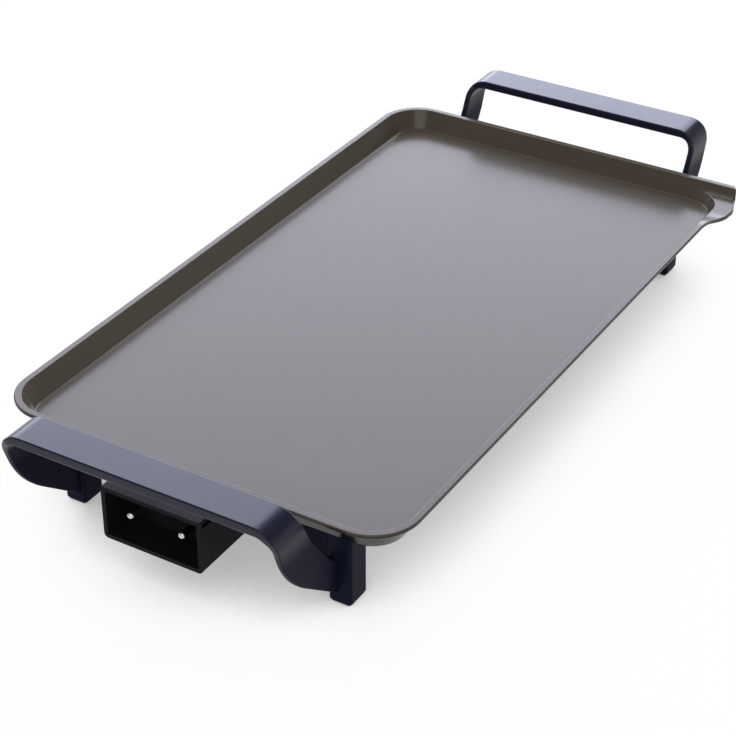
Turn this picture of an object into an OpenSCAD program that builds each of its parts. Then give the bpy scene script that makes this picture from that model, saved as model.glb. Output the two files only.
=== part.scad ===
// Electric teppanyaki grill: a shallow cast plate with a pouring beak at its rear right corner.
// Each end stands on one moulding that is handle, legs and feet at once. A tubular heating element
// lies in ribs under the plate, and its two terminal pins end in a connector socket at the front.
// Millimetres. +Z is up from the table, +Y runs to the rear handle, +X is right as seen from the socket.
// The origin is on the table, below the middle of the plate.

/* [Cooking plate] */
// Width of the plate across its lip
plate_w = 272; // [250:1:320]
// Length of the plate across its lip
plate_l = 478; // [430:1:560]
// Height of the lip above the table
rim_h = 67; // [62:0.5:80]
// Radius of the plate's four corners
corner_r = 30; // [24:0.5:40]
// Width of the flat top of the lip
lip_w = 4.5; // [3.5:0.1:6]
// Depth of the lip's edge
lip_t = 2.5; // [2:0.1:3]
// Radius along the edges of the lip
lip_round = 0.8; // [0.4:0.1:0.9]
// Depth of the cooking recess below the lip
recess_d = 13; // [11:0.1:15]
// How far the wall of the recess leans in between lip and floor
wall_draft = 7; // [5:0.1:9]
// Level thickness of the plate's wall
wall_t = 2.6; // [2.2:0.1:4]
// Radius between the wall and the floor of the recess
floor_fillet = 2.5; // [1:0.1:4]
// Thickness of the plate's floor
floor_t = 3.6; // [3.4:0.1:5]
// Radius of the outer edge under the plate
base_round = 6; // [3:0.1:7]

/* [Pouring beak] */
// How far the beak reaches past the side of the plate
beak_reach = 5.6; // [3:0.1:8]
// Depth of the beak's floor below the lip
beak_drop = 6; // [4:0.1:8]
// Thickness of the beak's floor
beak_t = 3; // [2:0.1:4]
// Distance from the plate's rear end to where the side lip starts to sink
beak_start = 68; // [60:0.5:90]
// Distance from the plate's rear end to where the outline starts to flare
beak_flare = 57; // [45:0.5:60]
// Distance from the plate's rear end to where the lip has sunk to the beak's floor
beak_level = 32; // [28:0.5:42]
// Distance from the plate's rear end to the beak's widest point
beak_shoulder = 24.5; // [18:0.5:27]
// How far the end of the beak slants back in on its way to the rear wall
beak_slant = 8.3; // [5:0.1:12]
// Radius of the beak's widest corner
shoulder_r = 10; // [4:0.5:14]
// Radius of the corner between the beak's end and the rear wall
beak_tip_r = 3; // [1:0.1:5]

/* [Handle frames] */
// Height of the handle bar's top above the lip
bar_rise = 21; // [16:0.5:32]
// Gap between the end of the plate and the bar
bar_gap = 20.8; // [18:0.1:34]
// Width of the bar
bar_w = 24.8; // [18:0.1:28]
// Thickness of the bar
bar_t = 6; // [5:0.1:8]
// Thickness of the legs
leg_t = 4.2; // [3.4:0.1:6]
// Width of a frame across the outside of its legs
frame_w = 184.8; // [150:0.2:210]
// Outer radius of the bend between bar and leg
bend_r = 15; // [12:0.1:20]
// Radius where an edge of the bar runs into an edge of the leg
bar_ease = 6; // [2:0.5:8]
// How far in from the bar's outer edge the leg's outer edge turns
knee_in = 12.7; // [8:0.1:18]
// Height above the table at which the leg's outer edge turns
knee_z = 46; // [40:0.1:52]
// Radius of that turn
knee_r = 70; // [30:1:80]
// How far in from the bar's inner edge the leg's inner edge turns
elbow_in = 10; // [9:0.1:16]
// How far below the bar the leg's inner edge turns
elbow_drop = 20.1; // [16:0.1:24]
// Radius of that turn
elbow_r = 60; // [20:1:80]
// Height above the table at which the line of the leg's inner edge meets the post
notch_z = 26.8; // [22:0.1:30]
// Radius of the notch between leg and post
notch_r = 4; // [2:0.1:4.5]
// Height above the table of the leg's lowest point
toe_z = 8; // [7:0.1:14]

/* [Foot posts] */
// Width of a foot post across the plate
post_w = 15; // [13.4:0.1:20]
// Depth of a foot post along the plate
post_d = 18; // [13.4:0.1:20]
// Distance from the end of the plate to the outer face of a post
post_inset = 15.4; // [15:0.1:24]
// How far a post stands out past the outside of the leg
post_out = 8.1; // [7:0.1:10]
// Radius of the post's upright edges
post_round = 2.4; // [1:0.1:4]
// How far a gusset reaches inwards from its post, under the plate
gusset_w = 28; // [20:0.5:34]
// Thickness of the gussets
gusset_t = 3; // [2:0.1:5]
// Height above the table at which a gusset leaves its post
gusset_z = 24; // [18:0.5:34]
// Thickness of a rubber foot pad below the post
pad_t = 2; // [1.5:0.1:4]
// How far the pad's edge lies inside the post's outline
pad_inset = 0.4; // [0.2:0.1:1.6]
// Length of the pad's plug inside the post
pad_plug = 12; // [8:0.5:18]

/* [Frame screws] */
// Diameter of the screws that hold the handle frames
screw_d = 4; // [3:0.1:4.4]
// Diameter of their heads
head_d = 7.2; // [6:0.1:7.6]
// Thickness of their heads
head_t = 2.6; // [2:0.1:3.2]
// Diameter of the washers under their heads
washer_d = 8.8; // [8:0.1:9.2]
// Thickness of those washers
washer_t = 0.8; // [0.5:0.1:1.2]
// Diameter of the deep hole in a post that takes head, washer and plug
post_hole_d = 9.6; // [9.4:0.1:10]
// Height above the table of the shoulder that the washer bears on
screw_seat = 30; // [26:0.5:34]
// Diameter of the bosses under the plate that take the frame screws
boss_d = 10; // [8.4:0.1:10.4]
// Height of those bosses
boss_h = 4; // [3:0.1:5]
// How far a screw reaches into the plate's floor
thread_in = 2.4; // [1.5:0.1:2.6]
// Width of the cross slot in a screw's head
cross_w = 1; // [0.8:0.1:1.2]

/* [Heating element] */
// Diameter of the element's tubular sheath
element_d = 7; // [6:0.1:7.6]
// How far the element's axis lies below the plate's underside
element_drop = 4.2; // [3.8:0.1:4.6]
// Width of the heating loop between the middles of its long runs
loop_w = 150; // [130:1:170]
// Distance from the ends of the plate to the cross runs of the loop
loop_gap = 62; // [58:1:80]
// Radius of the element's bends
element_bend = 22; // [18:0.5:26]
// Width of the rib that wraps the element
rib_w = 12; // [11:0.1:12.6]
// How far the element shows below its rib
element_proud = 0.5; // [0.2:0.1:0.8]

/* [Terminals] */
// Distance between the two terminal pins
pin_pitch = 35; // [33:0.1:36]
// Diameter of the free end of a terminal pin
pin_d = 5; // [4.6:0.1:5.4]
// Diameter of the pin's stem in its insulator and in the element's sheath
stem_d = 4.2; // [3:0.1:4.4]
// How far the tips of the pins lie inside the socket's mouth
pin_recess = 2.7; // [1:0.1:5]
// How far the stem reaches into the element's sheath
pin_in = 22; // [12:0.5:26]
// Diameter of the ceramic insulator round a pin
insulator_d = 10; // [8.6:0.1:10]
// Length of the insulator behind the terminal bracket
insulator_l = 10.5; // [6:0.1:10.8]
// Diameter of the insulator's flange
flange_d = 13; // [12:0.1:14]
// Thickness of the insulator's flange
flange_t = 3; // [2:0.1:4]
// Inner diameter of the sleeve for the thermostat probe
probe_d = 6.6; // [6:0.1:6.8]
// Wall of that sleeve
sleeve_t = 0.9; // [0.6:0.1:1]
// How far the probe's axis lies below the plate's underside
probe_drop = 8; // [7.6:0.1:8.4]
// How far the sleeve reaches in from the front end of the plate
probe_reach = 74; // [50:1:90]
// Thickness of the wall round the sleeve's bore under the plate
probe_wall = 3.3; // [1.5:0.1:4]

/* [Socket] */
// Width of the socket housing
socket_w = 67.5; // [66:0.1:80]
// Height of the housing's top above the pins
socket_up = 17.2; // [15:0.1:17.4]
// Depth of the housing's underside below the pins
socket_down = 18; // [17:0.1:22]
// How far the socket stands out in front of the plate
socket_reach = 30.7; // [30:0.1:40]
// Length of the housing from its mouth to its back
socket_l = 64.7; // [62:0.1:80]
// Thickness of the housing's walls
socket_wall = 2.8; // [2:0.1:3.2]
// Radius of the housing's lower edges
socket_round = 3; // [1:0.1:5]
// Radius of the housing's upper edges
socket_edge = 1; // [0.4:0.1:2]
// Length of the latch recess in each side of the housing
latch_l = 9; // [6:0.1:14]
// Height of that recess
latch_h = 3.6; // [2.4:0.1:5]
// Depth of that recess
latch_d = 1.4; // [0.6:0.1:1.6]
// Distance from the mouth to the latch recess
latch_set = 1.6; // [1:0.1:4]
// Distance from the top of the housing to the latch recess
latch_drop = 1.4; // [1:0.1:3]
// Thickness of the partition at the back of the socket's mouth
partition_t = 2; // [1.4:0.1:3]
// Distance from the mouth to the terminal bracket
bracket_set = 26.5; // [24:0.1:27]
// Thickness of the bracket's sheet steel
bracket_t = 1.2; // [0.8:0.1:1.6]
// Length of the bracket's two tabs under the plate
tab_l = 34; // [32:0.1:35]
// Width of those tabs
tab_w = 8.4; // [7.6:0.1:8.6]
// Distance from the end of a tab to its screw
tab_end = 7; // [4:0.1:8]
// Diameter of the lugs under the plate that the tabs sit on
lug_d = 7; // [6:0.1:7.4]
// Height of those lugs
lug_h = 7.9; // [7.4:0.1:8.6]
// Diameter of the socket screws
socket_screw_d = 3.5; // [3:0.1:3.8]
// Diameter of their heads
socket_head_d = 6.2; // [5.6:0.1:6.4]
// Thickness of their heads
socket_head_t = 2.4; // [1.8:0.1:3]
// Diameter of the washers under their heads
socket_washer_d = 6.8; // [6.6:0.1:7]
// Diameter of the sunk holes that take head and washer
socket_hole_d = 7.4; // [7.2:0.1:7.8]
// Diameter of the pillars inside the housing
pillar_d = 10.8; // [10:0.1:11]
// Height of the shoulder in a pillar above the housing's underside
pillar_seat = 7.3; // [5:0.1:9]
// Width of the earth contact strip
earth_w = 10; // [6:0.1:14]
// Thickness of the earth contact strip
earth_t = 0.8; // [0.5:0.1:1.2]
// Distance from the mouth to the front of the earth contact strip
earth_set = 8; // [4:0.1:14]
// Height of the strip's foot on the bracket
earth_foot = 8.8; // [7:0.1:10]
// Diameter of the rivet through that foot
rivet_d = 3; // [2:0.1:3.4]
// Diameter of the rivet's heads
rivet_head_d = 5.6; // [4.4:0.1:6]
// Thickness of the rivet's heads
rivet_head_t = 1; // [0.6:0.1:1.4]

/* [Clearances] */
// Clearance round parts that slide into place
slip = 0.1; // [0.05:0.01:0.15]
// Clearance of a screw's shank in a plain hole
screw_clear = 0.3; // [0.2:0.05:0.4]
// Clearance drawn between a screw and the threaded hole that holds it
thread_slack = 0.05; // [0.02:0.01:0.1]
// Space left beyond the tip of a screw
tip_space = 0.4; // [0.2:0.1:0.6]
// Gap between the socket and the plate
socket_gap = 1; // [0.6:0.1:1.4]
// Gap between the socket's walls and the metal inside it
metal_gap = 0.35; // [0.2:0.05:0.5]

/* [Hidden] */
$fn = 48;
arc_steps = 6;
flare_steps = 10;
// Overrun of a cut past the face that it opens
over = 1;
// Overlap of features that grow out of the plate's floor
root = 1;
// Share of a screw head that its cross slot spans
cross_span = 0.6;

// Colours
coated_plate = [0.43, 0.41, 0.40];
navy_plastic = [0.17, 0.18, 0.24];
black_plastic = [0.07, 0.07, 0.08];
black_rubber = [0.05, 0.05, 0.05];
bright_steel = [0.75, 0.75, 0.77];
zinc_steel = [0.62, 0.63, 0.66];
sheath_steel = [0.36, 0.34, 0.32];
white_ceramic = [0.90, 0.88, 0.84];
yellow_brass = [0.72, 0.58, 0.30];

// Levels of the plate
floor_z = rim_h - recess_d;
base_z = floor_z - floor_t;
// Centres of the plate's corners
side_x = plate_w / 2 - corner_r;
side_y = plate_l / 2 - corner_r;
// Faces of the plate's wall at height z, measured outwards from a corner's centre
function inner_u(z) = corner_r - lip_w - wall_draft * (rim_h - z) / recess_d;
function outer_u(z) = inner_u(z) + wall_t;
// Front and rear limit of the plate's flat underside
flat_y = side_y + outer_u(base_z) - base_round;

// Levels and lines of the handle frames
bar_top = rim_h + bar_rise;
bar_z = bar_top - bar_t;
bar_in_y = plate_l / 2 + bar_gap;
bar_out_y = bar_in_y + bar_w;
post_x = frame_w / 2 + post_out - post_w / 2;
post_y = plate_l / 2 - post_inset - post_d / 2;
post_face_y = post_y + post_d / 2;

// Lines of the element, the terminals and the socket
element_z = base_z - element_drop;
pin_x = pin_pitch / 2;
loop_x = loop_w / 2;
loop_y = plate_l / 2 - loop_gap;
mouth_y = -plate_l / 2 - socket_reach;
web_y = mouth_y + bracket_set;
web_back_y = web_y + bracket_t;
partition_back_y = web_y - flange_t - slip;
partition_y = partition_back_y - partition_t;
sheath_y = web_y + insulator_l + slip;
sleeve_r = probe_d / 2 + sleeve_t;
probe_z = base_z - probe_drop;
probe_end_y = probe_reach - plate_l / 2;
probe_base_z = probe_z - sleeve_r - probe_wall / 2;
socket_top = element_z + socket_up;
socket_base = element_z - socket_down;
socket_back_y = mouth_y + socket_l;
cavity_x = socket_w / 2 - socket_wall;
metal_x = cavity_x - metal_gap;
cavity_base = socket_base + socket_wall;
cavity_top = socket_top - socket_wall;
lug_z = base_z - lug_h;
tab_z = lug_z - bracket_t;
tab_end_y = web_back_y + tab_l;
socket_screw_x = metal_x - lug_d / 2;
socket_screw_y = tab_end_y - tab_end;
pillar_shoulder = socket_base + pillar_seat;
earth_top = cavity_top - metal_gap;
rivet_z = earth_top - earth_foot / 2 - earth_t / 2;

// Unit vector along v
function unit(v) = v / norm(v);
// Points of the arc that rounds corner p = [x, y, radius] between its neighbours a and b
function corner_arc(a, p, b) =
    let (here = [p[0], p[1]],
         u = unit([a[0], a[1]] - here),
         v = unit([b[0], b[1]] - here),
         half = acos(u * v) / 2,
         middle = here + unit(u + v) * p[2] / sin(half),
         first = here + u * p[2] / tan(half) - middle,
         last = here + v * p[2] / tan(half) - middle,
         from = atan2(first[1], first[0]),
         turn = atan2(first[0] * last[1] - first[1] * last[0], first * last))
    [for (i = [0 : arc_steps])
        middle + p[2] * [cos(from + turn * i / arc_steps), sin(from + turn * i / arc_steps)]];
// Outline through corners [x, y, radius], where radius 0 is a sharp corner
function rounded(corners) =
    let (count = len(corners))
    [for (i = [0 : count - 1])
        let (p = corners[i])
        each p[2] == 0
            ? [[p[0], p[1]]]
            : corner_arc(corners[(i + count - 1) % count], p, corners[(i + 1) % count])];
// Rectangle of width w and depth d about the origin, with corners of radius r
function rounded_rectangle(w, d, r) =
    rounded([[w / 2, d / 2, r], [-w / 2, d / 2, r], [-w / 2, -d / 2, r], [w / 2, -d / 2, r]]);
// Ease from 0 to 1 with level ends
function smooth(t) = t * t * (3 - 2 * t);

// Extrudes a drawing of (y, z) along X from one x to another
module across(from, to) {
    translate([from, 0, 0])
        rotate([90, 0, 90])
            linear_extrude(to - from)
                children();
}

// Extrudes a drawing of (x, z) along Y from one y to another
module lengthwise(from, to) {
    translate([0, to, 0])
        rotate([90, 0, 0])
            linear_extrude(to - from)
                children();
}

// Round bar along Y, from one y to another
module round_y(from, to, r) {
    lengthwise(from, to)
        circle(r);
}

// Section of the plate from a corner's centre out to its lip
plate_section = rounded([
    [0, base_z, 0],
    [outer_u(base_z), base_z, base_round],
    [outer_u(rim_h - lip_t), rim_h - lip_t, 0],
    [corner_r, rim_h - lip_t, lip_round],
    [corner_r, rim_h, lip_round],
    [corner_r - lip_w, rim_h, lip_round],
    [inner_u(floor_z), floor_z, floor_fillet],
    [0, floor_z, 0]]);

// The plate before its beak: floor, four sides and four corners of one section
module dish() {
    translate([-side_x, -side_y, base_z])
        cube([2 * side_x, 2 * side_y, floor_t]);
    for (turn = [0, 180])
        rotate(turn) {
            translate([side_x, 0, 0])
                lengthwise(-side_y, side_y)
                    polygon(plate_section);
            translate([0, side_y, 0])
                across(-side_x, side_x)
                    polygon(plate_section);
            translate([side_x, side_y, 0])
                rotate_extrude(angle = 90)
                    polygon(plate_section);
            translate([-side_x, side_y, 0])
                rotate(90)
                    rotate_extrude(angle = 90)
                        polygon(plate_section);
        }
}

// Lines of the beak, from the rear end of the plate
sink_y = plate_l / 2 - beak_start;
level_y = plate_l / 2 - beak_level;
beak_floor = rim_h - beak_drop;
beak_wall_y = side_y + inner_u(beak_floor);

// The beak seen from above
beak_outline = rounded(concat(
    [[side_x, sink_y, 0], [plate_w / 2, sink_y, 0]],
    [for (i = [0 : flare_steps - 1])
        [plate_w / 2 + beak_reach * smooth(i / flare_steps),
         plate_l / 2 - beak_flare + (beak_flare - beak_shoulder) * i / flare_steps, 0]],
    [[plate_w / 2 + beak_reach, plate_l / 2 - beak_shoulder, shoulder_r],
     [plate_w / 2 + beak_reach - beak_slant, plate_l / 2, beak_tip_r],
     [side_x, plate_l / 2, 0]]));

// What the sinking lip takes away above the beak's floor
module beak_cut() {
    across(side_x, plate_w / 2 + over)
        polygon([[sink_y, rim_h], [level_y, beak_floor], [plate_l / 2 + over, beak_floor],
                 [plate_l / 2 + over, rim_h + over], [sink_y, rim_h + over]]);
}

// What the beak's floor leaves free: the recess and a little of its wall, so that the floor is rooted in the wall
beak_clear = [
    [0, floor_z],
    [inner_u(floor_z) + root, floor_z],
    [inner_u(rim_h) + root, rim_h],
    [0, rim_h]];

// Floor of the beak, which grows out of the sinking lip, and the rear wall beside it
module beak() {
    intersection() {
        translate([0, 0, base_z])
            linear_extrude(recess_d + floor_t + over)
                polygon(beak_outline);
        union() {
            difference() {
                across(side_x, plate_w / 2 + beak_reach)
                    polygon([[sink_y, rim_h], [level_y, beak_floor], [plate_l / 2, beak_floor],
                             [plate_l / 2, beak_floor - beak_t], [level_y, beak_floor - beak_t],
                             [sink_y, rim_h - lip_t]]);
                translate([side_x, side_y, 0])
                    rotate_extrude(angle = 90)
                        polygon(beak_clear);
                translate([side_x, 0, 0])
                    lengthwise(sink_y - over, side_y)
                        polygon(beak_clear);
            }
            across(side_x, plate_w / 2 + beak_reach)
                polygon(rounded([
                    [beak_wall_y, beak_floor - beak_t, 0],
                    [plate_l / 2, beak_floor - beak_t, 0],
                    [plate_l / 2, rim_h, lip_round],
                    [plate_l / 2 - lip_w, rim_h, lip_round],
                    [beak_wall_y, beak_floor, 0]]));
        }
    }
}

// Carries a drawing about the element's axis along the heating loop, from front_y at both pins
module along_element(front_y) {
    for (side = [0, 1])
        mirror([side, 0, 0])
            translate([0, 0, element_z]) {
                translate([pin_x, 0, 0])
                    lengthwise(front_y, -loop_y - element_bend)
                        children();
                translate([pin_x + element_bend, -loop_y - element_bend, 0])
                    rotate(90)
                        rotate_extrude(angle = 90)
                            translate([element_bend, 0])
                                children();
                translate([0, -loop_y, 0])
                    across(pin_x + element_bend, loop_x - element_bend)
                        children();
                translate([loop_x - element_bend, element_bend - loop_y, 0])
                    rotate(-90)
                        rotate_extrude(angle = 90)
                            translate([element_bend, 0])
                                children();
                translate([loop_x, 0, 0])
                    lengthwise(element_bend - loop_y, loop_y - element_bend)
                        children();
                translate([loop_x - element_bend, loop_y - element_bend, 0])
                    rotate_extrude(angle = 90)
                        translate([element_bend, 0])
                            children();
                translate([0, loop_y, 0])
                    across(0, loop_x - element_bend)
                        children();
            }
}

// Rib that wraps the element, as it stands before its groove is cut
module element_rib() {
    rib_base = element_proud - element_d / 2;
    along_element(-flat_y)
        translate([-rib_w / 2, rib_base])
            square([rib_w, element_drop + root - rib_base]);
}

// Places children at the four foot posts
module at_posts() {
    for (x = [-post_x, post_x], y = [-post_y, post_y])
        translate([x, y, 0])
            children();
}

// Places children at the two socket screws
module at_socket_screws() {
    for (x = [-socket_screw_x, socket_screw_x])
        translate([x, socket_screw_y, 0])
            children();
}

// Cast aluminium plate with a non-stick coat
module cooking_plate() {
    probe_half = sleeve_r + probe_wall;
    color(coated_plate)
        difference() {
            union() {
                difference() {
                    dish();
                    beak_cut();
                }
                beak();
                element_rib();
                at_posts()
                    translate([0, 0, base_z - boss_h])
                        cylinder(h = boss_h + root, d = boss_d);
                at_socket_screws()
                    translate([0, 0, lug_z])
                        cylinder(h = lug_h + root, d = lug_d);
                translate([-probe_half, -flat_y, probe_base_z])
                    cube([2 * probe_half, probe_end_y + flat_y + probe_wall,
                          base_z + root - probe_base_z]);
            }
            along_element(-plate_l / 2)
                circle(element_d / 2 + slip);
            for (x = [-pin_x, pin_x])
                translate([x, 0, element_z])
                    round_y(-plate_l / 2, sheath_y, insulator_d / 2 + slip);
            translate([0, 0, probe_z])
                round_y(-plate_l / 2, probe_end_y + slip, sleeve_r + slip);
            at_posts()
                translate([0, 0, base_z - boss_h - over])
                    cylinder(h = boss_h + over + thread_in + tip_space, r = screw_d / 2 + thread_slack);
            at_socket_screws()
                translate([0, 0, lug_z - over])
                    cylinder(h = lug_h + over + thread_in + tip_space,
                             r = socket_screw_d / 2 + thread_slack);
        }
}

// Tubular heating element, bent to one loop, with a blind bore for a terminal pin at each end
module heating_element() {
    color(sheath_steel)
        difference() {
            along_element(sheath_y)
                circle(element_d / 2);
            for (x = [-pin_x, pin_x])
                translate([x, 0, element_z])
                    round_y(sheath_y - over, sheath_y + pin_in + slip, stem_d / 2 + slip);
        }
}

// Terminal pin: a round-tipped free end before the partition, and a stem back into the sheath
module terminal_pin(x) {
    tip_y = mouth_y + pin_recess + pin_d / 2;
    color(bright_steel)
        translate([x, 0, element_z]) {
            round_y(tip_y, partition_y, pin_d / 2);
            round_y(partition_y, sheath_y + pin_in, stem_d / 2);
            translate([0, tip_y, 0])
                sphere(d = pin_d);
        }
}

module terminal_pin_left() {
    terminal_pin(-pin_x);
}

module terminal_pin_right() {
    terminal_pin(pin_x);
}

// Ceramic insulator that carries a pin through the bracket, with its flange in front
module pin_insulator(x) {
    color(white_ceramic)
        translate([x, 0, element_z])
            difference() {
                union() {
                    round_y(web_y - flange_t, web_y, flange_d / 2);
                    round_y(web_y - flange_t / 2, web_y + insulator_l, insulator_d / 2);
                }
                round_y(web_y - flange_t - over, web_y + insulator_l + over, stem_d / 2 + slip);
            }
}

module pin_insulator_left() {
    pin_insulator(-pin_x);
}

module pin_insulator_right() {
    pin_insulator(pin_x);
}

// Brass sleeve that guides a thermostat probe from the socket to under the plate
module probe_sleeve() {
    color(yellow_brass)
        translate([0, 0, probe_z])
            difference() {
                round_y(web_y, probe_end_y, sleeve_r);
                round_y(web_y - over, probe_end_y + over, probe_d / 2);
            }
}

// Steel bracket: an upright web across the socket and two tabs clamped under the plate
module terminal_bracket() {
    color(zinc_steel)
        difference() {
            union() {
                translate([-metal_x, web_y, cavity_base + metal_gap])
                    cube([2 * metal_x, bracket_t, earth_top - cavity_base - metal_gap]);
                for (side = [0, 1])
                    mirror([side, 0, 0])
                        translate([metal_x - tab_w, web_y, tab_z])
                            cube([tab_w, tab_end_y - web_y, bracket_t]);
            }
            for (x = [-pin_x, pin_x])
                translate([x, 0, element_z])
                    round_y(web_y - over, web_back_y + over, insulator_d / 2 + slip);
            translate([0, 0, probe_z])
                round_y(web_y - over, web_back_y + over, sleeve_r + slip);
            translate([0, 0, rivet_z])
                round_y(web_y - over, web_back_y + over, rivet_d / 2 + slip);
            at_socket_screws()
                translate([0, 0, tab_z - over])
                    cylinder(h = bracket_t + 2 * over, r = socket_screw_d / 2 + screw_clear);
        }
}

// Earth contact: a strip under the socket's roof, bent down to a foot on the bracket
module earth_contact() {
    color(yellow_brass)
        difference() {
            union() {
                translate([-earth_w / 2, mouth_y + earth_set, earth_top - earth_t])
                    cube([earth_w, bracket_set - earth_set, earth_t]);
                translate([-earth_w / 2, web_y - earth_t, earth_top - earth_foot])
                    cube([earth_w, earth_t, earth_foot]);
            }
            translate([0, 0, rivet_z])
                round_y(web_y - earth_t - over, web_y + over, rivet_d / 2 + slip);
        }
}

// Rivet that fixes the earth contact to the bracket
module earth_rivet() {
    color(bright_steel)
        translate([0, 0, rivet_z]) {
            round_y(web_y - earth_t - rivet_head_t, web_y - earth_t, rivet_head_d / 2);
            round_y(web_y - earth_t, web_back_y, rivet_d / 2);
            round_y(web_back_y, web_back_y + rivet_head_t, rivet_head_d / 2);
        }
}

// The housing before its holes: a hood that runs back under the plate, hollow from its mouth
module socket_hood() {
    slope_top_y = -side_y - outer_u(socket_top) - socket_gap;
    slope_base_y = -side_y - outer_u(base_z) - socket_gap;
    notch_x = pin_x + rib_w / 2 + socket_gap;
    difference() {
        intersection() {
            across(-socket_w / 2, socket_w / 2)
                polygon([[mouth_y, socket_base], [mouth_y, socket_top],
                         [slope_top_y, socket_top], [slope_base_y, base_z - socket_gap],
                         [socket_back_y, base_z - socket_gap], [socket_back_y, socket_base]]);
            lengthwise(mouth_y, socket_back_y)
                polygon(rounded([
                    [-socket_w / 2, socket_base, socket_round],
                    [socket_w / 2, socket_base, socket_round],
                    [socket_w / 2, socket_top, socket_edge],
                    [-socket_w / 2, socket_top, socket_edge]]));
        }
        translate([-cavity_x, mouth_y - over, cavity_base])
            cube([2 * cavity_x, partition_y - mouth_y + over, cavity_top - cavity_base]);
        translate([-cavity_x, partition_back_y, cavity_base])
            cube([2 * cavity_x, socket_back_y - socket_wall - partition_back_y, cavity_top - cavity_base]);
        translate([-notch_x, socket_back_y - socket_wall - over, probe_base_z - socket_gap])
            cube([2 * notch_x, socket_wall + 2 * over, socket_top - probe_base_z]);
    }
}

// Moulded socket housing, with a partition that only the pins, the probe and the earth strip pass
module socket_housing() {
    color(black_plastic)
        difference() {
            union() {
                socket_hood();
                at_socket_screws()
                    translate([0, 0, socket_base])
                        cylinder(h = tab_z - socket_base, d = pillar_d);
            }
            at_socket_screws()
                translate([0, 0, socket_base - over]) {
                    cylinder(h = tab_z - socket_base + 2 * over, r = socket_screw_d / 2 + screw_clear);
                    cylinder(h = pillar_seat + over, d = socket_hole_d);
                }
            for (side = [0, 1])
                mirror([side, 0, 0])
                    translate([socket_w / 2 - latch_d, mouth_y + latch_set,
                               socket_top - latch_drop - latch_h])
                        cube([latch_d + over, latch_l, latch_h]);
            for (x = [-pin_x, pin_x])
                translate([x, 0, element_z])
                    round_y(partition_y - over, partition_back_y + over, stem_d / 2 + slip);
            translate([0, 0, probe_z])
                round_y(partition_y - over, partition_back_y + over, probe_d / 2 + screw_clear);
            translate([-earth_w / 2 - metal_gap, partition_y - over, earth_top - earth_t - metal_gap])
                cube([earth_w + 2 * metal_gap, partition_t + 2 * over, earth_t + 2 * metal_gap]);
        }
}

// Flat washer that lies with its top at height z
module washer(outer_d, hole_r, z) {
    translate([0, 0, z - washer_t])
        difference() {
            cylinder(h = washer_t, d = outer_d);
            translate([0, 0, -over])
                cylinder(h = washer_t + 2 * over, r = hole_r);
        }
}

// Cross-head screw driven upwards: its shank runs from seat_z to tip_z, its head hangs below
module cross_screw(d, top_d, top_t, seat_z, tip_z) {
    slot_l = top_d * cross_span;
    difference() {
        union() {
            translate([0, 0, seat_z - top_t])
                cylinder(h = top_t, d = top_d);
            translate([0, 0, seat_z])
                cylinder(h = tip_z - seat_z, d = d);
        }
        for (turn = [0, 90])
            rotate(turn)
                translate([-slot_l / 2, -cross_w / 2, seat_z - top_t - over])
                    cube([slot_l, cross_w, top_t / 2 + over]);
    }
}

module socket_washers() {
    color(zinc_steel)
        at_socket_screws()
            washer(socket_washer_d, socket_screw_d / 2 + screw_clear, pillar_shoulder);
}

module socket_screws() {
    color(zinc_steel)
        at_socket_screws()
            cross_screw(socket_screw_d, socket_head_d, socket_head_t,
                        pillar_shoulder - washer_t, base_z + thread_in);
}

// Bar and legs from the front: one arch
arch_outline = rounded([
    [-frame_w / 2, 0, 0],
    [-frame_w / 2, bar_top, bend_r],
    [frame_w / 2, bar_top, bend_r],
    [frame_w / 2, 0, 0],
    [frame_w / 2 - leg_t, 0, 0],
    [frame_w / 2 - leg_t, bar_z, bend_r - bar_t],
    [leg_t - frame_w / 2, bar_z, bend_r - bar_t],
    [leg_t - frame_w / 2, 0, 0]]);

// Bar and leg from the side: a blade that sweeps in from the bar to the foot post
leg_outline = rounded([
    [post_y, toe_z, 0],
    [post_face_y, toe_z, 0],
    [bar_out_y - knee_in, knee_z, knee_r],
    [bar_out_y, bar_z, bar_ease],
    [bar_out_y, bar_top, 0],
    [bar_in_y, bar_top, 0],
    [bar_in_y, bar_z, bar_ease],
    [bar_in_y - elbow_in, bar_z - elbow_drop, elbow_r],
    [post_face_y, notch_z, notch_r],
    [post_face_y, notch_z + 4 * notch_r, 0],
    [post_y, notch_z + 4 * notch_r, 0]]);

// Gusset from the front: a triangle that closes the corner between post and plate
gusset_outline = [
    [post_x, gusset_z],
    [post_x - post_w / 2, gusset_z],
    [post_x - post_w / 2 - gusset_w, base_z],
    [post_x, base_z]];

// Moulded end frame at the rear of the plate: handle bar, legs, foot posts and their gussets in one piece
module end_frame() {
    color(navy_plastic)
        difference() {
            union() {
                intersection() {
                    lengthwise(post_y, bar_out_y)
                        polygon(arch_outline);
                    across(-frame_w / 2, frame_w / 2)
                        polygon(leg_outline);
                }
                for (x = [-post_x, post_x])
                    translate([x, post_y, pad_t])
                        linear_extrude(base_z - pad_t)
                            polygon(rounded_rectangle(post_w, post_d, post_round));
                for (side = [0, 1])
                    mirror([side, 0, 0])
                        lengthwise(post_face_y - post_round - gusset_t, post_face_y - post_round)
                            polygon(gusset_outline);
            }
            for (x = [-post_x, post_x])
                translate([x, post_y, 0]) {
                    cylinder(h = base_z + over, r = screw_d / 2 + screw_clear);
                    cylinder(h = screw_seat, d = post_hole_d);
                    translate([0, 0, base_z - boss_h - slip])
                        cylinder(h = boss_h + slip + over, r = boss_d / 2 + slip);
                }
        }
}

module rear_handle() {
    end_frame();
}

module front_handle() {
    rotate(180)
        end_frame();
}

// Washers and screws of the frame at the rear of the plate
module frame_washers() {
    color(zinc_steel)
        for (x = [-post_x, post_x])
            translate([x, post_y, 0])
                washer(washer_d, screw_d / 2 + screw_clear, screw_seat);
}

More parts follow.
